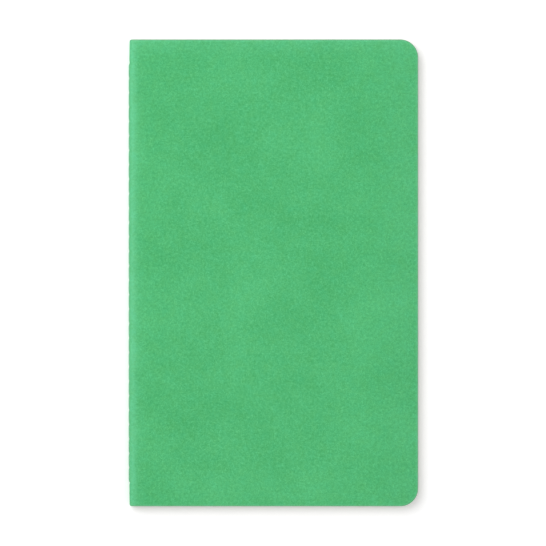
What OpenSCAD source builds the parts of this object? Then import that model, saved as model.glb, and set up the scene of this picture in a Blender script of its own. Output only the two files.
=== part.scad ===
// A thin softcover notebook, sewn through the fold.
// One folded card cover holds one section of folded sheets, and a single row of
// machine stitches along the back of the fold holds cover and sheets together.
// It lies closed on its back cover: X runs from the fold to the fore edge,
// Y from tail to head, and Z up through the pages to the front cover.

/* [Cover] */
// Width of the closed cover, from the back of the fold to the fore edge
cover_w = 130; // [90:1:190]
// Height of the cover, from tail to head
cover_h = 210; // [140:1:250]
// Thickness of the cover card
card_t = 0.4; // [0.25:0.05:0.6]
// Radius of the two rounded corners at the fore edge
fore_corner_r = 8; // [3:0.5:15]
// Radius of the worn corners at the two ends of the fold
fold_corner_r = 1.2; // [0.6:0.1:2]

/* [Pages] */
// Number of sheets, each folded once and nested in the next
sheet_count = 20; // [8:2:30]
// Thickness of one sheet of paper
sheet_t = 0.1; // [0.08:0.01:0.14]
// Air between the pages and the cover card
cover_gap = 0.1; // [0.05:0.01:0.2]
// How far the trimmed page edges stand back from the cover's edges
page_inset = 0.15; // [0.05:0.05:0.6]
// How far the edge of every second sheet stands back from its neighbours
leaf_step = 0.12; // [0.06:0.02:0.3]

/* [Sewing] */
// Length of one stitch along the fold
stitch_l = 6.5; // [4:0.25:10]
// Least distance from head or tail to the first needle hole
sewn_margin = 10; // [6:1:25]
// Thickness of both sewing threads
thread_d = 0.3; // [0.2:0.02:0.4]
// Radius of the needle thread's bend at a hole's mouth, to the middle of the thread
thread_bend_r = 0.25; // [0.22:0.01:0.35]
// Air round a thread where it lies on the card, in its channel or on the other thread
thread_gap = 0.02; // [0.01:0.01:0.05]
// Length of the bobbin thread past the last needle hole at each end
thread_tail = 3; // [1:0.5:5]

/* [Hidden] */

$fn = 64;

// How far a cutting shape runs past what it cuts
over = 1;

// Half the thickness of the closed pages, which is also the radius of their fold
page_r = sheet_count * sheet_t;
// Inner and outer radius of the folded card
fold_in_r = page_r + cover_gap;
fold_r = fold_in_r + card_t;
// Thickness of the closed notebook
book_t = 2 * fold_r;

back_x = -cover_w / 2;
fore_x = cover_w / 2;
// The line where the round of the fold ends and each cover hinges
hinge_x = back_x + fold_r;

thread_r = thread_d / 2;
// The needle thread swells a little where it turns round the bobbin thread
lock_r = 1.1 * thread_r;
// It goes in on one side of the bobbin thread and comes back out on the other,
// each strand this far from the middle of the needle hole
strand_z = thread_r + thread_gap + lock_r;
needle_hole_r = strand_z + lock_r + 3 * thread_gap;
channel_r = thread_r + thread_gap;
// Where the stitches lie on the back of the fold, and where their bends start
stitch_x = back_x - thread_r - thread_gap;
bend_x = stitch_x + thread_bend_r;
stitch_count = floor((cover_h - 2 * sewn_margin) / stitch_l);
sewn_l = stitch_count * stitch_l;
hole_ys = [for (i = [0:stitch_count]) i * stitch_l - sewn_l / 2];
// A stitch leaves one hole low and enters the next one high, so it lies aslant
stitch_slant = atan2(2 * strand_z, stitch_l);
stitch_reach = norm([stitch_l, 2 * strand_z]) / 2;

card_green = [0.33, 0.73, 0.47];
thread_green = [0.40, 0.78, 0.57];
paper_ivory = [0.95, 0.93, 0.86];

// The waste outside a rounded corner whose sharp point is at the origin
module corner_waste(r) {
  difference() {
    translate([-r, -r]) square(r + over);
    translate([-r, -r]) circle(r);
  }
}

// Plan of the trimmed notebook, its three cut edges standing back by inset
module trimmed_plan(inset = 0) {
  half_h = cover_h / 2 - inset;
  edge_x = fore_x - inset;
  difference() {
    translate([back_x, -half_h]) square([edge_x - back_x, 2 * half_h]);
    for (side = [0, 1]) mirror([0, side]) {
      translate([edge_x, half_h]) corner_waste(fore_corner_r - inset);
      translate([back_x, half_h]) mirror([1, 0]) corner_waste(fold_corner_r);
    }
  }
}

// Stands a section drawn in X and Z up along the whole height of the notebook
module along_fold(length) {
  rotate([90, 0, 0]) linear_extrude(length, center = true) children();
}

// Section of all that lies inside a fold of outer radius r
module folded_section(r) {
  translate([hinge_x, fold_r]) circle(r);
  translate([hinge_x, fold_r - r]) square([cover_w, 2 * r]);
}

// One flat half of the cover, with its outer face at the top
module cover_panel() {
  linear_extrude(card_t) intersection() {
    trimmed_plan();
    translate([hinge_x, -cover_h / 2 - over]) square([cover_w, cover_h + 2 * over]);
  }
}

// Needle holes, from outside the fold to just past the thread's lock
module needle_holes() {
  for (y = hole_ys)
    translate([back_x - over, y, fold_r])
      rotate([0, 90, 0]) cylinder(r = needle_hole_r, h = over + fold_r + needle_hole_r);
}

module front_cover() {
  color(card_green) translate([0, 0, book_t - card_t]) cover_panel();
}

module back_cover() {
  color(card_green) cover_panel();
}

// The round of the folded card, from one hinge line to the other
module spine() {
  color(card_green) difference() {
    intersection() {
      along_fold(cover_h + 2 * over) intersection() {
        difference() {
          translate([hinge_x, fold_r]) circle(fold_r);
          translate([hinge_x, fold_r]) circle(fold_in_r);
        }
        translate([back_x - over, -over]) square([fold_r + over, book_t + 2 * over]);
      }
      translate([0, 0, -over]) linear_extrude(book_t + 2 * over) trimmed_plan();
    }
    needle_holes();
  }
}

// The slot round all three trimmed edges where sheet i stands back
module leaf_groove(i) {
  outer_r = page_r - i * sheet_t;
  inner_r = outer_r - sheet_t;
  difference() {
    along_fold(cover_h + 2 * over) difference() {
      folded_section(outer_r);
      if (inner_r > sheet_t / 2) folded_section(inner_r);
    }
    translate([0, 0, -over])
      linear_extrude(book_t + 2 * over) trimmed_plan(page_inset + leaf_step);
  }
}

// All the folded sheets together, with their needle holes and the bobbin thread's channel
module pages() {
  color(paper_ivory) difference() {
    intersection() {
      along_fold(cover_h + 2 * over) folded_section(page_r);
      translate([0, 0, -over]) linear_extrude(book_t + 2 * over) trimmed_plan(page_inset);
    }
    for (i = [1:2:sheet_count - 1]) leaf_groove(i);
    needle_holes();
    translate([hinge_x, 0, fold_r]) rotate([90, 0, 0])
      cylinder(r = channel_r, h = cover_h + 2 * over, center = true);
  }
}

// Half a stitch lying along Y: out of its needle hole, round and to the middle
module half_stitch() {
  run_l = stitch_reach - thread_bend_r;
  translate([bend_x, -stitch_reach, 0])
    rotate([0, 90, 0]) cylinder(r = thread_r, h = hinge_x + thread_gap - bend_x);
  translate([bend_x, -run_l, 0]) rotate([0, 0, 180])
    rotate_extrude(angle = 90) translate([thread_bend_r, 0]) circle(thread_r);
  translate([stitch_x, -run_l, 0]) rotate([-90, 0, 0]) cylinder(r = thread_r, h = run_l);
}

// A whole stitch with its middle at the origin
module stitch() {
  rotate([stitch_slant, 0, 0]) for (turn = [0, 180]) rotate([turn, 0, 0]) half_stitch();
}

// The turn that the needle thread makes round the bobbin thread
module lock_turn() {
  rotate([-90, 0, 0]) rotate([0, 0, -90])
    rotate_extrude(angle = 180) translate([strand_z, 0]) circle(lock_r);
}

// The thread whose stitches show on the back of the fold, one unbroken length
module needle_thread() {
  color(thread_green) translate([0, 0, fold_r]) {
    for (i = [0:stitch_count - 1]) translate([0, hole_ys[i] + stitch_l / 2, 0]) stitch();
    for (y = hole_ys) translate([hinge_x, y, 0]) lock_turn();
  }
}

// The thread inside the fold, which runs through every turn of the needle thread
module bobbin_thread() {
  color(thread_green) translate([hinge_x, 0, fold_r]) rotate([90, 0, 0])
    cylinder(r = thread_r, h = sewn_l + 2 * thread_tail, center = true);
}

front_cover();
back_cover();
spine();
pages();
needle_thread();
bobbin_thread();
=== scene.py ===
# %% [markdown]
# # A thin softcover notebook, sewn through the fold
#
# The real notebook is three things: a sheet of green card, twenty sheets of paper and
# some thread. All the paper is nested inside the card, the whole stack is sewn once
# along its middle on a machine, and then it is folded on the row of stitches and
# trimmed. The cover's fore-edge corners are cut round.
#
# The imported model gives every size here. We load it first, and read the sizes off it,
# so that each piece made below fits without any moving about.

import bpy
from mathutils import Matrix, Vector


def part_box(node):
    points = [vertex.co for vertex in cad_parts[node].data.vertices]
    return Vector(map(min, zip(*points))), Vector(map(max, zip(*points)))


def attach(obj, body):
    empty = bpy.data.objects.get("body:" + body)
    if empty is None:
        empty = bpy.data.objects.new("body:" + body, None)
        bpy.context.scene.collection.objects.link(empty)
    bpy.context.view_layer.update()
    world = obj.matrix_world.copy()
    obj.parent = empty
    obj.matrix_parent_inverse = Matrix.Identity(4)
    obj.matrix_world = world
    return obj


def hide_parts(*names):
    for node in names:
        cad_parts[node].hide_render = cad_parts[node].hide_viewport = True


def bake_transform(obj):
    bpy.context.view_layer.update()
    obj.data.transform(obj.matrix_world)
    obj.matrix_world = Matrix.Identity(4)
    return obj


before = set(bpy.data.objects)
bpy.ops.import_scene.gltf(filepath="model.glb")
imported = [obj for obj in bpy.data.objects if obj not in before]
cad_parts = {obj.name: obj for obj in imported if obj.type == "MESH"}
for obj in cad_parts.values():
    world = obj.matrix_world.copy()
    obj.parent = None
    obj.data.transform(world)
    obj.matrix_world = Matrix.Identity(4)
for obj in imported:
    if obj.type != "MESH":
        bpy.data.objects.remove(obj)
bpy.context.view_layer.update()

# %% [markdown]
# Nothing else is read from disk. All that follows is written in metres, and `MM` turns
# millimetres into them.

# %% Modules used below
import math
import random

import bmesh
import bpy
from mathutils import Matrix, Vector

MM = 0.001


def in_mm(values):
    """Lengths in millimetres, for printing."""
    return [round(value / MM, 3) for value in values]


# %% [markdown]
# ## Sizes
#
# X runs from the fold to the fore edge, Y from tail to head, and Z up through the
# pages. No box shows the length of a stitch, the round corners or the number of sheets,
# so those are written out.

# %% Read the sizes off the model
panel_low, panel_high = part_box("front_cover")
spine_low, spine_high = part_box("spine")
pages_low, pages_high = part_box("pages")
needle_low, needle_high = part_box("needle_thread")
bobbin_low, bobbin_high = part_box("bobbin_thread")

CARD_T = panel_high.z - panel_low.z
FOLD_R = (spine_high.z - spine_low.z) / 2
FOLD_X = panel_low.x
FOLD_Z = FOLD_R
BACK_X = spine_low.x
FORE_X = panel_high.x
HALF_H = panel_high.y
PAGES_R = (pages_high.z - pages_low.z) / 2
THREAD_R = (bobbin_high.z - bobbin_low.z) / 2
STITCH_L = 6.5 * MM
SEWN_L = STITCH_L * math.floor((needle_high.y - needle_low.y) / STITCH_L)
STITCHES = round(SEWN_L / STITCH_L)
HOLES_Y = [i * STITCH_L - SEWN_L / 2 for i in range(STITCHES + 1)]
FORE_CORNER_R = 8 * MM
FOLD_CORNER_R = 0.9 * MM
SHEETS = 20
print(STITCHES, "stitches; card, fold, first hole", in_mm((CARD_T, FOLD_R, HOLES_Y[0])))

# %% [markdown]
# ## Helpers for modelling by operators
#
# An operator works on whatever is selected, and loading the model leaves its pieces
# selected. So everything is deselected before anything is added, and inside a mesh the
# vertices, edges or faces are picked by their place.

# %% Picking and finishing
NEAR = 0.001 * MM


def only(obj):
    """Makes obj the one selected and active object."""
    bpy.ops.object.select_all(action="DESELECT")
    obj.select_set(True)
    bpy.context.view_layer.objects.active = obj


def named(name):
    """Names the object that an operator has just added, and its mesh."""
    obj = bpy.context.object
    obj.name = obj.data.name = name
    return obj


def middle(item):
    """The middle of an edge or face."""
    return sum((v.co for v in item.verts), Vector()) / len(item.verts)


def pick(kind, wanted):
    """In edit mode, selects each VERT, EDGE or FACE that wanted(item) is true for."""
    bpy.ops.mesh.select_mode(type=kind)
    bpy.ops.mesh.select_all(action="DESELECT")
    mesh = bmesh.from_edit_mesh(bpy.context.object.data)
    for item in {"VERT": mesh.verts, "EDGE": mesh.edges, "FACE": mesh.faces}[kind]:
        if wanted(item):
            item.select_set(True)
    mesh.select_flush_mode()
    bmesh.update_edit_mesh(bpy.context.object.data)


def cut_across(axis, places):
    """In edit mode, cuts the whole mesh with a plane across an axis at each place."""
    normal = [float(i == axis) for i in range(3)]
    for place in places:
        bpy.ops.mesh.select_all(action="SELECT")
        bpy.ops.mesh.bisect(plane_co=[n * place for n in normal], plane_no=normal)


def finish_with(obj, kind, **settings):
    """Adds one modifier, sets it up and applies it."""
    only(obj)
    modifier = obj.modifiers.new(kind.lower(), kind)
    for key, value in settings.items():
        setattr(modifier, key, value)
    bpy.ops.object.modifier_apply(modifier=modifier.name)


def join(objs, name):
    """Joins several objects into the first of them."""
    only(objs[0])
    for obj in objs:
        obj.select_set(True)
    bpy.ops.object.join()
    return named(name)


def report(obj):
    """Prints what a piece has come to."""
    triangles = sum(len(p.vertices) - 2 for p in obj.data.polygons)
    print(obj.name, "vertices", len(obj.data.vertices), "triangles", triangles)


# %% [markdown]
# ## How the closed notebook settles
#
# Straight from the drawing, every sheet is dead flat and the fold is a true half
# circle. The real thing is springy. Three small changes bring it to life, and they are
# one function of place, so that card, paper and thread all give way together and never
# pass through each other:
#
# - near the fold the whole stack is pressed a little thinner, which gives the fold its
#   longer, bullet-like nose;
# - the stack breathes by a few hundredths of a millimetre along its length;
# - each needle hole is drawn in by the pull of its stitch, and so, a little, are the
#   two ends of the fold, which no stitch holds out.

# %% The settling function
NOSE_DEPTH = 0.05
NOSE_LENGTH = 6 * MM
BREATH = 0.012
BREATHING_WAVES = ((23, 31, 1.3, 0.3), (71, -17, 0.4, 0.2))
PULL_DEPTH = 0.17 * MM
PULL_WIDTH = 0.75 * MM
END_DEPTH = 0.16 * MM
END_LENGTH = 5 * MM
HALF_ROUND = math.pi / 2 * FOLD_R


def breathing(x, y):
    """A slow wave between 0 and 1 along and across the notebook."""
    return 0.5 + sum(
        height * math.sin(along * y + across * x + start)
        for along, across, start, height in BREATHING_WAVES
    )


def settle(point):
    """Moves a point of the ideal notebook to where the real one has it."""
    x, y, z = point
    inland = max(0.0, x - BACK_X)
    press = NOSE_DEPTH * math.exp(-inland / NOSE_LENGTH)
    press += BREATH * breathing(x, y) * min(1.0, inland / FOLD_R)
    z = FOLD_Z + (z - FOLD_Z) * (1 - press)
    nearest = min(HOLES_Y, key=lambda hole: abs(hole - y))
    away = math.hypot(y - nearest, z - FOLD_Z) / PULL_WIDTH
    depth = max(0.0, 1 - inland / FOLD_R)
    x += PULL_DEPTH * math.exp(-away * away) * depth
    x += END_DEPTH * math.exp((abs(y) - HALF_H) / END_LENGTH) * depth
    return Vector((x, y, z))


def angle_of(point):
    """How far round the fold a point lies: 0 on the front's hinge, pi on the back's."""
    return math.atan2(FOLD_X - point.x, point.z - FOLD_Z)


def on_flat_card(point):
    """Where a point of the cover lies on the card before it is folded.

    X runs across the flat card from the middle of the fold, towards the front's fore
    edge, and Z is the depth under the outer face.
    """
    if point.x >= FOLD_X:
        side = math.copysign(1, point.z - FOLD_Z)
        return Vector((
            side * (HALF_ROUND + point.x - FOLD_X), point.y,
            FOLD_R - abs(point.z - FOLD_Z),
        ))
    radius = math.hypot(point.x - FOLD_X, point.z - FOLD_Z)
    return Vector((HALF_ROUND - angle_of(point) * FOLD_R, point.y, FOLD_R - radius))


def settle_mesh(obj, noted):
    """Settles every vertex, and first notes on each the place that finishes read."""
    mesh = obj.data
    drawn = mesh.attributes.new("as_drawn", "FLOAT_VECTOR", "POINT")
    for vertex, note in zip(mesh.vertices, drawn.data):
        note.vector = noted(vertex.co)
        vertex.co = settle(vertex.co)
    mesh.update()


crease = settle((FOLD_X, 0, FOLD_Z + FOLD_R))
print("thickness at the crease", *in_mm([2 * (crease.z - FOLD_Z)]), "mm")

# %% [markdown]
# ## The cover's two flat sides
#
# A side of the cover is a plane with two rounded corners. We add a plane at its size,
# bevel two of its corner vertices, and cut it across so that it can bend. The edge at
# the fold is then spun a few degrees round the fold's axis: the side takes a little of
# the round with it, so that the joint between side and spine lies on a smooth place.
# Solidify gives the card its thickness, inwards.

# %% One side of the cover
FOLD_STEPS = 60
SEAM_STEPS = 4
STEP_ANGLE = math.pi / FOLD_STEPS
SEAM_ANGLE = SEAM_STEPS * STEP_ANGLE
SEAMS = (SEAM_ANGLE, math.pi - SEAM_ANGLE)
SEAM_X = FOLD_X - FOLD_R * math.sin(SEAM_ANGLE)
CARD_EDGE_R = 0.05 * MM
SHARP_ABOVE = math.radians(60)
COVER_CORNER_STEPS = 20
CREASE_CUTS = [FOLD_X + k * 0.1 * MM for k in range(1, 7)]
COVER_FIRST_GAP = 0.4 * MM
COVER_GAP_RATE = 1.35
COVER_STRIP = 2.5 * MM
ON_SEAM = 0.2
NEAR_SEAM = 0.45


def spread(first, last, step):
    """Evenly spread places between first and last, about one step apart."""
    count = max(1, round((last - first) / step))
    return [first + (last - first) * i / count for i in range(1, count)]


def growing(first, gap, last, rate):
    """Places from first to last, the gaps between them growing by a rate."""
    places, place = [], first + gap
    while place < last:
        places.append(place)
        gap *= rate
        place += gap
    return places


def rounded_leaf(name, z, edge_x, half_h, corner_r, segments):
    """A flat leaf at height z with two round corners at its fore edge."""
    bpy.ops.object.select_all(action="DESELECT")
    bpy.ops.mesh.primitive_plane_add(size=1, location=((FOLD_X + edge_x) / 2, 0, z))
    leaf = named(name)
    leaf.scale = (edge_x - FOLD_X, 2 * half_h, 1)
    bpy.ops.object.transform_apply()
    bpy.ops.object.mode_set(mode="EDIT")
    pick("VERT", lambda v: v.co.x > edge_x - NEAR)
    bpy.ops.mesh.bevel(
        offset=corner_r, segments=segments, profile=0.5, affect="VERTICES",
        clamp_overlap=False,
    )
    return leaf


def at_hinge(item):
    """Whether an edge lies on the hinge line, where a flat side meets the round."""
    return all(abs(v.co.x - FOLD_X) < NEAR for v in item.verts)


def spin_round_fold(steps, angle):
    """In edit mode, spins the edge at the hinge line round the fold's axis."""
    pick("EDGE", at_hinge)
    bpy.ops.mesh.spin(
        steps=steps, angle=angle, center=(FOLD_X, 0, FOLD_Z), axis=(0, 1, 0)
    )
    bpy.ops.mesh.select_all(action="SELECT")
    bpy.ops.mesh.normals_make_consistent(inside=False)


def face_up(sheet):
    """Turns the faces of an open sheet so that the flat ones look up."""
    if sheet.data.polygons[0].normal.z < 0:
        sheet.data.flip_normals()


def sharp(edge):
    """Whether the two faces at an edge meet at a large angle."""
    return len(edge.link_faces) == 2 and edge.calc_face_angle() > SHARP_ABOVE


def round_the_edges(obj, radius, keep_sharp):
    """Rounds the sharp edges of the card, but not those whose middle is kept sharp."""
    only(obj)
    bpy.ops.object.mode_set(mode="EDIT")
    pick("EDGE", lambda edge: sharp(edge) and not keep_sharp(middle(edge)))
    bpy.ops.mesh.bevel(offset=radius, segments=2, profile=0.5, clamp_overlap=False)
    bpy.ops.object.mode_set(mode="OBJECT")


def at_seam(point, share):
    """Whether a point lies on a seam, give or take a share of a step round."""
    return any(abs(angle_of(point) - seam) < share * STEP_ANGLE for seam in SEAMS)


def square_the_seams(obj):
    """Brings what lies near a seam exactly onto it, so that the pieces meet flush."""
    for vertex in obj.data.vertices:
        if at_seam(vertex.co, NEAR_SEAM):
            radius = math.hypot(vertex.co.x - FOLD_X, vertex.co.z - FOLD_Z)
            seam = min(SEAMS, key=lambda angle: abs(angle_of(vertex.co) - angle))
            vertex.co.x = FOLD_X - radius * math.sin(seam)
            vertex.co.z = FOLD_Z + radius * math.cos(seam)


def cover_side(name):
    """The cover's front side, with the first degrees of the round."""
    side = rounded_leaf(
        name, FOLD_Z + FOLD_R, FORE_X, HALF_H, FORE_CORNER_R, COVER_CORNER_STEPS
    )
    cut_across(0, CREASE_CUTS)
    cut_across(0, growing(
        CREASE_CUTS[-1], COVER_FIRST_GAP, FORE_X - FORE_CORNER_R, COVER_GAP_RATE
    ))
    cut_across(1, spread(-HALF_H, HALF_H, COVER_STRIP))
    spin_round_fold(SEAM_STEPS, SEAM_ANGLE)
    bpy.ops.object.mode_set(mode="OBJECT")
    face_up(side)
    finish_with(side, "SOLIDIFY", thickness=CARD_T, offset=-1, use_even_offset=True)
    square_the_seams(side)
    round_the_edges(side, CARD_EDGE_R, lambda place: at_seam(place, ON_SEAM))
    square_the_seams(side)
    return side


def turned_over(obj, name):
    """A copy of a piece on the other side of the notebook's middle plane."""
    only(obj)
    bpy.ops.object.duplicate()
    copy = named(name)
    bpy.ops.object.mode_set(mode="EDIT")
    bpy.ops.mesh.select_all(action="SELECT")
    bpy.ops.transform.mirror(
        constraint_axis=(False, False, True), center_override=(0, 0, 0)
    )
    bpy.ops.transform.translate(value=(0, 0, 2 * FOLD_Z))
    bpy.ops.mesh.flip_normals()
    bpy.ops.object.mode_set(mode="OBJECT")
    return copy


cover_front = cover_side("cover_front")
cover_back = turned_over(cover_front, "cover_back")
report(cover_front)

# %% [markdown]
# ## The round of the cover
#
# Between its two sides the card is rolled into half a tube. A tube is what a cylinder
# without ends is, so we add one, turn it to lie along the fold, and delete the faces on
# the far side of both seams. Cutting it across many times lets each needle hole draw
# its own dimple.
#
# The needle holes themselves are punched: a Boolean modifier takes thirty pins away
# from the card, one at each hole.

# %% Punch pins
NEEDLE_HOLE_R = 0.36 * MM
PIN_SIDES = 20
PIN_REACH = 4 * MM


def pins(name, radius, first_x, last_x):
    """A row of pins that lie along X, one through each needle hole."""
    row = []
    for y in HOLES_Y:
        bpy.ops.object.select_all(action="DESELECT")
        bpy.ops.mesh.primitive_cylinder_add(
            vertices=PIN_SIDES, radius=radius, depth=last_x - first_x,
            location=((first_x + last_x) / 2, y, FOLD_Z), rotation=(0, math.pi / 2, 0),
        )
        bpy.ops.object.transform_apply()
        row.append(bpy.context.object)
    return join(row, name)


def punch_holes(obj):
    """Takes the pins away from a piece."""
    finish_with(obj, "BOOLEAN", operation="DIFFERENCE", object=punch, solver="EXACT")


punch = pins("punch", NEEDLE_HOLE_R, BACK_X - MM, BACK_X + PIN_REACH)
print(len(HOLES_Y), "pins of radius", *in_mm([NEEDLE_HOLE_R]), "mm")

# %% [markdown]
# The tube is cut into 70 strips and each of those into 6, because Blender makes at most
# a hundred cuts at a time. Its far side goes first. The ends of the fold are worn round
# last, by drawing the outermost tenth of the height in where the fold is narrowest.

# %% The round
ROUND_STRIPS = (70, 6)
WORN_FROM = 0.9


def wear_corners(obj, radius):
    """Rounds the two ends of the fold, seen from above, as handling does."""
    for vertex in obj.data.vertices:
        inland = vertex.co.x - BACK_X
        if inland < radius:
            lost = radius - math.sqrt(radius**2 - (radius - max(inland, 0.0)) ** 2)
            end = max(0.0, abs(vertex.co.y) / HALF_H - WORN_FROM) / (1 - WORN_FROM)
            vertex.co.y *= 1 - lost / HALF_H * end


def cover_round(name):
    """The rolled part of the cover, from seam to seam."""
    bpy.ops.object.select_all(action="DESELECT")
    bpy.ops.mesh.primitive_cylinder_add(
        vertices=2 * FOLD_STEPS, radius=FOLD_R, depth=2 * HALF_H,
        end_fill_type="NOTHING", location=(FOLD_X, 0, FOLD_Z),
        rotation=(math.pi / 2, 0, 0),
    )
    tube = named(name)
    bpy.ops.object.transform_apply()
    bpy.ops.object.mode_set(mode="EDIT")
    pick("FACE", lambda face: middle(face).x > SEAM_X)
    bpy.ops.mesh.delete(type="FACE")
    for strips in ROUND_STRIPS:
        pick("EDGE", lambda edge: abs(edge.verts[0].co.y - edge.verts[1].co.y) > NEAR)
        bpy.ops.mesh.subdivide(number_cuts=strips - 1)
    bpy.ops.object.mode_set(mode="OBJECT")
    finish_with(tube, "SOLIDIFY", thickness=CARD_T, offset=-1, use_even_offset=True)
    square_the_seams(tube)
    round_the_edges(
        tube, CARD_EDGE_R,
        lambda place: abs(place.y) < HALF_H - NEAR or at_seam(place, ON_SEAM),
    )
    square_the_seams(tube)
    punch_holes(tube)
    wear_corners(tube, FOLD_CORNER_R)
    return tube


cover_fold = cover_round("cover_fold")
report(cover_fold)

# %% [markdown]
# ## The pages
#
# A section is a nest: each sheet is folded once and lies inside the next, so at head
# and tail the edges show as hairpins, and at the fore edge as forty fine lines. A
# nested sheet is made like the cover: a leaf with two round corners, a fold spun onto
# it, and then Mirror makes the other leaf. Solidify gives the paper its thickness.
#
# The innermost sheet can't be folded flat, because the inner thread lies in its fold. A
# few millimetres on, the two halves close on each other.
#
# The knife doesn't leave all edges in one plane. The sheets creep a little, in groups,
# so each edge stands back by a walk of small random steps, from one fixed seed.

# %% The nest of sheets
INNERMOST_R = 0.26 * MM
SHEET_T = 0.086 * MM
SHEET_PITCH = (PAGES_R - INNERMOST_R) / (SHEETS - 1)
CLOSED_AFTER = 9 * MM
EDGE_INSET = FORE_X - pages_high.x
CREEP_STEP = 0.045 * MM
CREEP_MOST = 0.2 * MM
LEAF_CORNER_STEPS = 8
LEAF_FIRST_GAP = 1.5 * MM
LEAF_GAP_RATE = 2
LEAF_STRIP = 9 * MM
PUNCHED_SHEETS = 3
DIMPLE_CUTS = [k * 0.5 * MM for k in range(-2, 3)]
chance = random.Random(5)


def folded_sheet(name, radius, fore_inset, end_inset, punched):
    """One sheet folded in half round the notebook's fold."""
    edge_x, half_h = FORE_X - fore_inset, HALF_H - end_inset
    sheet = rounded_leaf(
        name, FOLD_Z + radius, edge_x, half_h, FORE_CORNER_R, LEAF_CORNER_STEPS
    )
    cut_across(0, growing(
        FOLD_X, LEAF_FIRST_GAP, edge_x - FORE_CORNER_R, LEAF_GAP_RATE
    ))
    if punched:
        cut_across(1, [hole + off for hole in HOLES_Y for off in DIMPLE_CUTS])
    else:
        cut_across(1, spread(-half_h, half_h, LEAF_STRIP))
    spin_round_fold(4 + round(4 * radius / PAGES_R), math.pi / 2)
    bpy.ops.mesh.select_all(action="SELECT")
    bpy.ops.transform.translate(value=(0, 0, -FOLD_Z))
    bpy.ops.object.mode_set(mode="OBJECT")
    face_up(sheet)
    finish_with(sheet, "MIRROR", use_axis=(False, False, True), merge_threshold=NEAR)
    finish_with(sheet, "SOLIDIFY", thickness=SHEET_T, offset=-1, use_even_offset=True)
    only(sheet)
    bpy.ops.transform.translate(value=(0, 0, FOLD_Z))
    bpy.ops.object.transform_apply()
    if punched:
        punch_holes(sheet)
    return sheet


def smooth_rise(value):
    """0 below 0 and 1 above 1, with a smooth rise between them."""
    value = min(1.0, max(0.0, value))
    return value * value * (3 - 2 * value)


def close_the_middle(obj):
    """Away from the fold, spreads the sheets until the two innermost leaves meet."""
    opened = PAGES_R / SHEETS / SHEET_PITCH - 1
    for vertex in obj.data.vertices:
        part = opened * smooth_rise((vertex.co.x - FOLD_X) / CLOSED_AFTER)
        off = vertex.co.z - FOLD_Z
        vertex.co.z -= math.copysign(part * (PAGES_R - abs(off)), off)


def nest_of_sheets():
    """All the sheets, from the outermost in, the first few with their needle holes."""
    sheets, creep = [], [0.0, 0.0]
    for i in range(SHEETS):
        sheets.append(folded_sheet(
            f"sheet_{i}", PAGES_R - i * SHEET_PITCH, EDGE_INSET + creep[0],
            EDGE_INSET + creep[1], punched=i < PUNCHED_SHEETS,
        ))
        for side in range(2):
            step = chance.uniform(-CREEP_STEP, CREEP_STEP)
            creep[side] = min(CREEP_MOST, abs(creep[side] + step))
    return join(sheets, "pages_nest")


pages = nest_of_sheets()
close_the_middle(pages)
report(pages)

# %% [markdown]
# ## The sewing thread
#
# The thread is three plies twisted together. One ply is a small ring moved off the axis
# and driven along it by a Screw modifier. Three of them, a third of a turn apart, make
# the cord, and a Curve modifier then leads the cord along the path of one stitch: round
# the inner thread, out through a needle hole, over the back of the fold and in again.

# %% One ply and one cord
TWIST_L = 1.1 * MM
PLIES = 3
RING_POINTS = 6
RINGS_PER_TWIST = 9
PLY_R = THREAD_R / (1 + 1 / math.sin(math.pi / PLIES))


def twisted_cord(name, length):
    """A straight three-ply cord that runs up from the origin along Z."""
    turns = length / TWIST_L
    steps = round(RINGS_PER_TWIST * turns)
    plies = []
    for i in range(PLIES):
        bpy.ops.object.select_all(action="DESELECT")
        bpy.ops.mesh.primitive_circle_add(vertices=RING_POINTS, radius=PLY_R)
        ply = named(f"ply_{i}")
        place = Matrix.Rotation(2 * math.pi * i / PLIES, 4, "Z")
        bpy.ops.transform.translate(value=place @ Vector((THREAD_R - PLY_R, 0, 0)))
        bpy.ops.object.transform_apply()
        finish_with(
            ply, "SCREW", axis="Z", angle=2 * math.pi * turns, screw_offset=length,
            steps=steps, render_steps=steps,
        )
        bpy.ops.object.mode_set(mode="EDIT")
        bpy.ops.mesh.select_all(action="SELECT")
        bpy.ops.mesh.fill_holes(sides=0)
        bpy.ops.mesh.select_all(action="SELECT")
        bpy.ops.mesh.normals_make_consistent(inside=False)
        bpy.ops.object.mode_set(mode="OBJECT")
        plies.append(ply)
    return join(plies, name)


print("ply radius", *in_mm([PLY_R]), "mm")

# %% [markdown]
# The thread comes out of a hole below the middle of the fold and goes into the next one
# above it, so the second half of a stitch is the first half turned over. Its path is a
# NURBS curve near the points below, given from the middle of the stitch.

# %% The path of a stitch
STRAND_OUT = 0.17 * MM
THREAD_GAP = 0.02 * MM
TURN_R = 2 * THREAD_R + 0.03 * MM
PROUD_X = BACK_X - THREAD_R - THREAD_GAP
CURVE_STEPS = 16


def stitch_path():
    """A stitch's centre line, from its deepest point to its middle and back in."""
    end_y = -STITCH_L / 2
    half = [
        (FOLD_X + TURN_R, end_y, 0),
        (FOLD_X + TURN_R, end_y, -0.6 * TURN_R),
        (FOLD_X, end_y, -1.15 * TURN_R),
        (FOLD_X - 0.6 * MM, end_y, -STRAND_OUT),
        (BACK_X + 0.8 * MM, end_y, -STRAND_OUT),
        (BACK_X + 0.2 * MM, end_y, -STRAND_OUT),
        (PROUD_X + 0.06 * MM, end_y + 0.1 * MM, -STRAND_OUT),
        (PROUD_X, end_y + 0.7 * MM, -0.8 * STRAND_OUT),
        (PROUD_X, end_y + 1.8 * MM, -0.4 * STRAND_OUT),
    ]
    return half + [(x, -y, -z) for x, y, z in reversed(half)]


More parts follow.
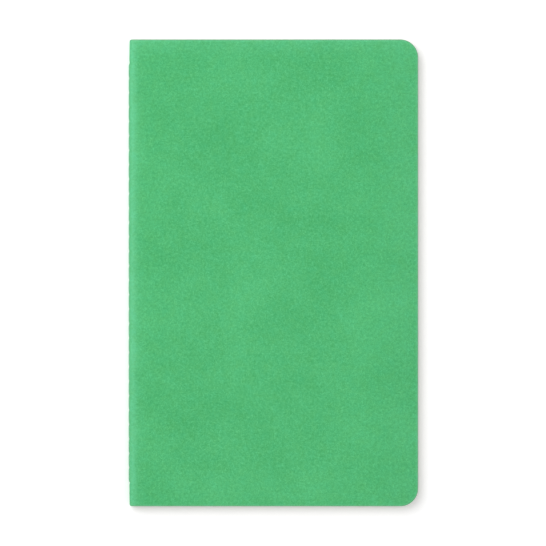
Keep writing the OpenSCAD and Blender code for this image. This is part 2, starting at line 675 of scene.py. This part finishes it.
def smooth_curve(name, points):
    """A curve that runs close by the points."""
    data = bpy.data.curves.new(name, "CURVE")
    data.dimensions = "3D"
    data.resolution_u = CURVE_STEPS
    spline = data.splines.new("NURBS")
    spline.points.add(len(points) - 1)
    for knot, point in zip(spline.points, points):
        knot.co = (*point, 1)
    spline.order_u = 4
    spline.use_endpoint_u = True
    curve = bpy.data.objects.new(name, data)
    bpy.context.collection.objects.link(curve)
    return curve


path = smooth_curve("stitch_path", stitch_path())
thread_length = path.data.splines[0].calc_length()
stitch = twisted_cord("stitch", thread_length)
finish_with(stitch, "CURVE", object=path, deform_axis="POS_Z")
print("one stitch takes", *in_mm([thread_length]), "mm of thread")
report(stitch)

# %% [markdown]
# The row is the same stitch 29 times. Each copy leans by up to a degree or so and lies
# up to two hundredths of a millimetre high or low, as chance has it.

# %% The row of stitches
LEAN = math.radians(1.2)
SLACK = 0.02 * MM


def row_of_stitches():
    """The stitch copied along the fold, each lying a little differently."""
    row = []
    for first, last in zip(HOLES_Y, HOLES_Y[1:]):
        only(stitch)
        bpy.ops.object.duplicate()
        copy = bpy.context.object
        turn = Matrix.Rotation(chance.uniform(-LEAN, LEAN), 4, "X")
        lift = Matrix.Translation((0, 0, chance.uniform(-SLACK, SLACK)))
        copy.data.transform(lift @ turn)
        bpy.ops.transform.translate(value=(0, (first + last) / 2, FOLD_Z))
        bpy.ops.object.transform_apply()
        row.append(copy)
    return join(row, "sewing_stitches")


needle_thread = row_of_stitches()
for helper in (stitch, path, punch):
    bpy.data.objects.remove(helper)
report(needle_thread)

# %% [markdown]
# Now the settling function goes over every vertex. The place of each before that is
# kept in the attribute `as_drawn`, for the finishes: on the cover as a place on the
# flat card, and on the rest as it is.

# %% Let every piece settle
for piece, noted in (
    (cover_fold, on_flat_card), (cover_front, on_flat_card), (cover_back, on_flat_card),
    (pages, Vector), (needle_thread, Vector),
):
    settle_mesh(piece, noted)
    # A box is worked out again only when the scene is brought up to date
    bpy.context.view_layer.update()
    print(piece.name, in_mm(piece.bound_box[0]), in_mm(piece.bound_box[6]))

# %% [markdown]
# ## Sums on sockets
#
# A finish is a small calculation: noise at one scale, plus noise at another, less a
# mask. One class wraps a socket and gives it the usual operators, so that such a sum
# can be written as a sum. A second class holds one material and adds any other node.

# %% A socket that can be calculated with
class Value:
    """A number that varies over a surface: one output of a node."""

    def __init__(self, socket):
        self.socket = socket

    def math(self, operation, *inputs, clamp=False):
        """One Math node on values and plain numbers."""
        node = self.socket.id_data.nodes.new("ShaderNodeMath")
        node.operation, node.use_clamp = operation, clamp
        for slot, given in zip(node.inputs, inputs):
            if isinstance(given, Value):
                self.socket.id_data.links.new(given.socket, slot)
            else:
                slot.default_value = given
        return Value(node.outputs[0])

    def __add__(self, other):
        return self.math("ADD", self, other)

    def __radd__(self, other):
        return self.math("ADD", other, self)

    def __sub__(self, other):
        return self.math("SUBTRACT", self, other)

    def __rsub__(self, other):
        return self.math("SUBTRACT", other, self)

    def __mul__(self, other):
        return self.math("MULTIPLY", self, other)

    def __rmul__(self, other):
        return self.math("MULTIPLY", other, self)

    def __abs__(self):
        return self.math("ABSOLUTE", self)

    def least(self, other):
        return self.math("MINIMUM", self, other)

    def most(self, other):
        return self.math("MAXIMUM", self, other)

    def root(self):
        return self.math("SQRT", self)

    def clamped(self):
        return self.math("ADD", self, 0.0, clamp=True)

    def step(self, low, high):
        """0 below low and 1 above high, with a smooth rise between them."""
        node = self.socket.id_data.nodes.new("ShaderNodeMapRange")
        node.interpolation_type = "SMOOTHSTEP"
        self.socket.id_data.links.new(self.socket, node.inputs["Value"])
        node.inputs["From Min"].default_value = low
        node.inputs["From Max"].default_value = high
        return Value(node.outputs["Result"])


class Finish:
    """One material and the nodes that make it."""

    def __init__(self, name):
        self.material = bpy.data.materials.new(name)
        self.material.use_nodes = True
        self.tree = self.material.node_tree
        self.shader = self.tree.nodes["Principled BSDF"]

    def node(self, kind, output=0, inputs=None, **settings):
        """Adds a node, sets it up, fills its sockets and gives back one output."""
        node = self.tree.nodes.new(kind)
        for key, value in settings.items():
            setattr(node, key, value)
        for key, given in (inputs or {}).items():
            self.fill(node.inputs[key], given)
        return Value(node.outputs[output])

    def fill(self, slot, given):
        """Links a value to a socket, or sets the socket to a plain number or colour."""
        if isinstance(given, Value):
            self.tree.links.new(given.socket, slot)
        elif isinstance(given, tuple) and len(given) == 3 and slot.type == "RGBA":
            slot.default_value = (*given, 1)
        else:
            slot.default_value = given

    def set(self, **sockets):
        """Fills the shader's own sockets, named in words joined by underscores."""
        for key, given in sockets.items():
            self.fill(self.shader.inputs[key.replace("_", " ")], given)

    def blend(self, factor, low, high):
        """A colour between low and high."""
        return self.node(
            "ShaderNodeMix", output=2, data_type="RGBA",
            inputs={0: factor, 6: low, 7: high},
        )

    def noise(
        self, place, size, detail=2.0, rough=0.5, stretch=None, turn=0.0, bend=0.0,
    ):
        """Noise about a middle of 0, whose grains are about size metres across.

        With stretch they are that many times longer, along axes that turn about Z.
        """
        if stretch:
            place = self.node(
                "ShaderNodeMapping", vector_type="TEXTURE", inputs={
                    "Vector": place, "Rotation": (0, 0, turn), "Scale": stretch,
                },
            )
        return self.node(
            "ShaderNodeTexNoise", inputs={
                "Vector": place, "Scale": 1 / size, "Detail": detail,
                "Roughness": rough, "Distortion": bend,
            },
        ) - 0.5

    def bump(self, height, depth):
        """A normal that follows height, whose range of 1 is depth metres deep."""
        return self.node(
            "ShaderNodeBump",
            inputs={"Height": height, "Distance": depth, "Strength": 1.0},
        )

    def as_drawn(self):
        """Where each point lay before the notebook settled."""
        return self.node(
            "ShaderNodeAttribute", output="Vector", attribute_name="as_drawn",
            attribute_type="GEOMETRY",
        )

    def put_on(self, *objs):
        """Gives the material to objects, and says how many nodes it has."""
        print(self.material.name, len(self.tree.nodes), "nodes")
        for obj in objs:
            obj.data.materials.clear()
            obj.data.materials.append(self.material)


def linear(red, green, blue):
    """A screen colour, written from 0 to 255, in the linear values of a shader."""
    return tuple(
        v / 12.92 if v <= 0.04045 else ((v + 0.055) / 1.055) ** 2.4
        for v in (red / 255, green / 255, blue / 255)
    )


# %% [markdown]
# ## Dyed card
#
# The card is dyed in the pulp, so the colour goes right through and varies a little
# with the fibres: a soft cloudiness over centimetres, a mottle of about a millimetre,
# and single fibres that lie every way, paler or darker than their neighbours. The round
# of the fold and a band just past it are painted paler and slightly bluer: partly wear,
# and partly a painted highlight where the round and the cover beside it turn towards
# the lamps. A band along the cut edges is painted paler in the same way, partly wear
# and partly a painted highlight on the rounded edge. The head end is painted lighter,
# as painted light from the lamp on that side, and the card is also lighter over its
# last three centimetres towards the fore edge. A thin rim at the outline is painted
# greyer
# and darker: painted shade where the cut edge turns away from the light.
#
# The patterns read where each point lay on the flat card, before it was folded. So the
# fibres run on round the fold, differ between front and back, and stay on the card when
# a cover is opened. They lie in thin layers, which show at the cut edges.

# %% Card
CARD_DEEP = (linear(61, 162, 85), linear(49, 164, 98))
CARD_PALE = (linear(104, 204, 128), linear(92, 206, 144))
# The paler colour of worn card and of painted light.
CARD_WORN_AND_LIT = (linear(118, 210, 147), linear(104, 213, 162))
# The colour of the painted shade at the rim of the cut edge.
CARD_RIM_SHADE = linear(128, 148, 120)
CARD_RELIEF = 0.03 * MM
FIBRE_LAYERS = 5
LAYER_FLATNESS = 0.4
FORE_EDGE = HALF_ROUND + FORE_X - FOLD_X


def fibres(finish, place, width, length, turned=0.0):
    """Thin threads that lie in several directions, from 0 to 1.

    All are turned by a share of the angle between one direction and the next.
    """
    total = None
    for i in range(FIBRE_LAYERS):
        layer = finish.noise(
            place, width, detail=1.0, stretch=(length / width, 1, LAYER_FLATNESS),
            turn=math.pi * (i + turned) / FIBRE_LAYERS, bend=0.6,
        )
        layer = layer.step(0.12, 0.2)
        total = layer if total is None else total.most(layer)
    return total


def place_on_card(finish, place):
    """How far a point lies inside the outline, off the fold and up the card."""
    split = finish.tree.nodes.new("ShaderNodeSeparateXYZ")
    finish.tree.links.new(place.socket, split.inputs[0])
    across, along = abs(Value(split.outputs[0])), Value(split.outputs[1])
    past_x = (across - (FORE_EDGE - FORE_CORNER_R)).most(0.0)
    past_y = (abs(along) - (HALF_H - FORE_CORNER_R)).most(0.0)
    inside = FORE_CORNER_R - (past_x * past_x + past_y * past_y).root()
    return inside, across, along


def card_finish():
    """Green card: clouds, mottle, fibres, wear and painted light, painted rim shade."""
    card = Finish("dyed_card")
    place = card.as_drawn()
    clouds = card.noise(place, 38 * MM, detail=2.0)
    drift = card.noise(place, 9 * MM, detail=2.0)
    mottle = card.noise(place, 1.3 * MM, detail=2.0, rough=0.6)
    grain = card.noise(place, 0.6 * MM, detail=2.0, rough=0.7)
    clumps = fibres(card, place, 0.42 * MM, 2.4 * MM)
    pale = fibres(card, place, 0.11 * MM, 1.0 * MM, turned=0.25)
    dark = fibres(card, place, 0.11 * MM, 0.8 * MM, turned=0.5)
    level = 0.475 + 0.52 * clouds + 0.2 * drift + 0.8 * mottle + 1.15 * grain
    level = level + 0.3 * clumps + 0.2 * pale - 0.2 * dark
    hue = 0.5 + 0.75 * card.noise(place, 4.5 * MM, detail=2.0, bend=0.4)
    hue = (hue + 0.5 * card.noise(place, 0.9 * MM, detail=2.0)).clamped()
    colour = card.blend(
        level.clamped(), card.blend(hue, *CARD_DEEP), card.blend(hue, *CARD_PALE)
    )

    inside, across, along = place_on_card(card, place)
    # A paler band along the cut edges: partly wear, partly a painted highlight on the
    # rounded edge.
    edge_wear_and_glint = 1 - inside.step(0.0, 1.5 * MM)
    # The head end painted lighter: painted light, as if lit more by the lamp on that
    # side.
    painted_head_light = along.step(HALF_H - 9 * MM, HALF_H)
    # The round of the fold painted paler, least at its very middle: partly wear, partly
    # a painted highlight where the round turns to the lamps.
    fold_wear_and_light = 1 - (across - HALF_ROUND).step(-1.6 * MM, 2.3 * MM)
    fold_wear_and_light = fold_wear_and_light * (0.65 + 0.35 * across.step(1.7 * MM, 3.1 * MM))
    # Painted light that fades over 6.5 mm onto the cover, where it bends down to the
    # fold.
    painted_light_past_fold = 1 - (across - HALF_ROUND).step(-0.5 * MM, 6.5 * MM)
    # Lighter towards the fore edge, over its last 28 mm.
    fore_edge_paling = across.step(FORE_EDGE - 28 * MM, FORE_EDGE)
    # These bands mix wear with painted light, all towards one paler colour.
    wear_and_light = 0.5 * edge_wear_and_glint + 0.25 * painted_head_light + 0.12 * fore_edge_paling
    wear_and_light = (wear_and_light + 0.62 * fold_wear_and_light + 0.18 * painted_light_past_fold).least(1.0)
    wear_and_light = wear_and_light * (0.8 + 1.0 * mottle + 0.8 * drift + 0.3 * pale)
    colour = card.blend(wear_and_light.clamped(), colour, card.blend(hue, *CARD_WORN_AND_LIT))
    # Painted shade: a thin darker, greyer rim at the outline, where the cut edge turns
    # away from the light.
    painted_rim_shade = 1 - inside.step(0.05 * MM, 0.5 * MM)
    colour = card.blend(0.6 * painted_rim_shade, colour, CARD_RIM_SHADE)

    height = 0.8 * mottle + 0.5 * grain + 0.35 * pale - 0.3 * dark
    card.set(
        Base_Color=colour,
        Roughness=(0.88 + 0.25 * grain + 0.1 * mottle).clamped(),
        Normal=card.bump(height, CARD_RELIEF),
        Specular_IOR_Level=0.3,
    )
    return card


card = card_finish()
card.put_on(cover_fold, cover_front, cover_back)

# %% [markdown]
# ## Paper
#
# Uncoated book paper is a warm off-white with a very faint cloud. It shows its fibres
# less than the card does.

# %% Paper
PAPER_WHITE = linear(243, 239, 226)
PAPER_SHADE = linear(232, 226, 208)
PAPER_RELIEF = 0.012 * MM


def paper_finish():
    """Off-white paper with a faint cloud and finer fibres."""
    paper = Finish("book_paper")
    place = paper.as_drawn()
    clouds = paper.noise(place, 14 * MM, detail=3.0)
    grain = paper.noise(place, 0.3 * MM, detail=2.0, rough=0.6)
    threads = fibres(paper, place, 0.09 * MM, 1.1 * MM, turned=0.25)
    level = 0.6 + 0.3 * clouds + 0.5 * grain + 0.1 * threads
    paper.set(
        Base_Color=paper.blend(level.clamped(), PAPER_SHADE, PAPER_WHITE),
        Roughness=(0.9 + 0.2 * grain).clamped(),
        Normal=paper.bump(grain + 0.3 * threads, PAPER_RELIEF),
        Specular_IOR_Level=0.25,
    )
    return paper


paper = paper_finish()
paper.put_on(pages)

# %% [markdown]
# ## Sewing thread
#
# The plies are real shapes, so the finish only adds what is finer: the hairs along the
# thread, and a soft sheen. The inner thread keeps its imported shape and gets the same
# finish.

# %% Thread
THREAD_MINT = linear(122, 212, 168)
THREAD_DEEP = linear(86, 184, 136)
THREAD_RELIEF = 0.02 * MM


def thread_finish():
    """Mint-green thread with fine hairs along it."""
    thread = Finish("sewing_thread")
    place = thread.node("ShaderNodeTexCoord", output="Object")
    hairs = thread.noise(place, 0.05 * MM, detail=2.0, stretch=(1, 4, 1))
    patches = thread.noise(place, 1.2 * MM, detail=2.0)
    level = 0.55 + 1.2 * hairs + 0.6 * patches
    thread.set(
        Base_Color=thread.blend(level.clamped(), THREAD_DEEP, THREAD_MINT),
        Roughness=(0.62 + 0.3 * hairs).clamped(),
        Normal=thread.bump(hairs, THREAD_RELIEF),
        Sheen_Weight=0.25,
    )
    return thread


thread = thread_finish()
thread.put_on(needle_thread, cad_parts["bobbin_thread"])

# %% [markdown]
# ## What each piece rides on
#
# The round of the cover, the pages and the thread stay together in one body. The two
# sides of the cover get no body here: their placement is baked into their vertices.

# %% Bodies, nodes and slots
CREASE_BEFORE = 0.3 * MM
CREASE_AFTER = 0.5 * MM

for piece, node, slot in (
    (cover_fold, "spine", "cover_card"),
    (pages, "pages", "page_paper"),
    (needle_thread, "needle_thread", "sewing_thread"),
):
    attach(piece, "book_block")
    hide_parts(node)

for piece, node in ((cover_front, "front_cover"), (cover_back, "back_cover")):
    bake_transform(piece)
    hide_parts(node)

print("each cover bends over", *in_mm([CREASE_BEFORE + CREASE_AFTER]), "mm")

# %% [markdown]
# ## Smooth shading
#
# Every piece is shaded smooth where its faces meet at a low angle, and stays crisp
# where the card and the paper are cut.

# %% Shade the pieces
SMOOTH_BELOW = math.radians(35)

for piece in (cover_fold, cover_front, cover_back, pages, needle_thread):
    only(piece)
    bpy.ops.object.shade_smooth_by_angle(angle=SMOOTH_BELOW)
    print(piece.name, "is smooth")

# %% [markdown]
# ## Floor, light and camera
#
# The photograph looks straight down on a white ground under very soft light. The camera
# stands 1.7 metres above with a long lens, so there is almost no perspective.

# %% Camera
PHOTO_W = 546
MM_PER_PIXEL = 0.4498
COVER_MIDDLE = (273.6, 272.88)
LENS = 250
SENSOR_W = 36
CLIP = (0.05, 20)


def make_camera():
    """A camera straight above, with the cover at its place in the photograph."""
    data = bpy.data.cameras.new("camera")
    data.lens, data.sensor_width = LENS, SENSOR_W
    data.clip_start, data.clip_end = CLIP
    camera = bpy.data.objects.new("camera", data)
    bpy.context.collection.objects.link(camera)
    view_w = PHOTO_W * MM_PER_PIXEL * MM
    camera.location = (
        (PHOTO_W / 2 - COVER_MIDDLE[0]) * MM_PER_PIXEL * MM,
        (COVER_MIDDLE[1] - PHOTO_W / 2) * MM_PER_PIXEL * MM,
        2 * FOLD_R + view_w * LENS / SENSOR_W,
    )
    bpy.context.scene.camera = camera
    return camera


camera = make_camera()
print("camera height", *in_mm([camera.location.z]), "mm")

# %% [markdown]
# The floor lies a card's thickness below the notebook, which leaves the back cover room
# to open. For the camera it is white, and darkens where the notebook shades it. A faint
# glow lifts it to pure white in the open, and far off it is nothing but that white. For
# the light that comes off it, it is plain pale paint.

# %% Floor
FLOOR_SIZE = 6.0
FLOOR_FADES = (0.35, 1.2)
FLOOR_DROP = CARD_T + 0.02 * MM
FLOOR_GLOW = 0.16
FLOOR_PAINT = (0.8, 0.8, 0.8)
WHITE = (1.0, 1.0, 1.0)


def seen_directly(tree):
    """1 for what the camera sees, also mirrored or through glass, and 0 for light."""
    ray = tree.nodes.new("ShaderNodeLightPath").outputs
    seen = Value(ray["Is Camera Ray"]) + Value(ray["Is Glossy Ray"])
    return (seen + Value(ray["Is Transmission Ray"])).least(1.0)


def far_off(finish, near, far):
    """0 within near of the notebook and 1 beyond far."""
    place = finish.node("ShaderNodeTexCoord", output="Object")
    distance = finish.node(
        "ShaderNodeVectorMath", output="Value", operation="LENGTH", inputs={0: place}
    )
    return distance.step(near, far)


def make_floor():
    """The floor, which is white for the camera and pale paint for the light."""
    bpy.ops.object.select_all(action="DESELECT")
    bpy.ops.mesh.primitive_plane_add(size=FLOOR_SIZE, location=(0, 0, -FLOOR_DROP))
    floor = named("floor")
    paint = Finish("floor_paint")
    paint.set(Base_Color=FLOOR_PAINT, Roughness=1.0, Specular_IOR_Level=0.0)
    plain = paint.node("ShaderNodeBsdfDiffuse", inputs={"Color": WHITE})
    glow = paint.node(
        "ShaderNodeEmission", inputs={"Color": WHITE, "Strength": FLOOR_GLOW}
    )
    near = paint.node("ShaderNodeAddShader", inputs={0: plain, 1: glow})
    far = paint.node("ShaderNodeEmission", inputs={"Color": WHITE})
    shown = paint.node(
        "ShaderNodeMixShader", inputs={0: far_off(paint, *FLOOR_FADES), 1: near, 2: far}
    )
    surface = paint.node("ShaderNodeMixShader", inputs={
        0: seen_directly(paint.tree), 1: Value(paint.shader.outputs[0]), 2: shown,
    })
    paint.fill(paint.tree.nodes["Material Output"].inputs["Surface"], surface)
    paint.put_on(floor)
    print("the floor lies", *in_mm([FLOOR_DROP]), "mm below")


make_floor()

# %% [markdown]
# Two large square lamps light the notebook, the stronger one from the fold's side near
# the head. The sky does the rest, and is pure white where the camera sees it.

# %% Light
SKY_LEVEL = 0.47
LAMPS = (
    ("key_lamp", (-0.62, 0.58, 1.15), 1.2, 12.9),
    ("fill_lamp", (1.1, -0.7, 1.6), 1.6, 4.9),
)


def make_lamps():
    """The lamps, each turned to face the notebook."""
    for name, place, size, power in LAMPS:
        data = bpy.data.lights.new(name, "AREA")
        data.shape, data.size, data.energy = "SQUARE", size, power
        lamp = bpy.data.objects.new(name, data)
        bpy.context.collection.objects.link(lamp)
        lamp.location = place
        lamp.rotation_mode = "QUATERNION"
        lamp.rotation_quaternion = (-Vector(place)).to_track_quat("-Z", "Y")
        print(name, "power", power)


def make_sky():
    """An even sky, at one level for light and at white for the camera."""
    world = bpy.data.worlds.new("sky")
    bpy.context.scene.world = world
    world.use_nodes = True
    tree = world.node_tree
    mixer = tree.nodes.new("ShaderNodeMixShader")
    tree.links.new(seen_directly(tree).socket, mixer.inputs[0])
    for slot, strength in zip(mixer.inputs[1:], (SKY_LEVEL, 1.0)):
        background = tree.nodes.new("ShaderNodeBackground")
        background.inputs["Color"].default_value = (*WHITE, 1)
        background.inputs["Strength"].default_value = strength
        tree.links.new(background.outputs[0], slot)
    tree.links.new(mixer.outputs[0], tree.nodes["World Output"].inputs["Surface"])


make_lamps()
make_sky()
bpy.context.scene.view_settings.view_transform = "Standard"
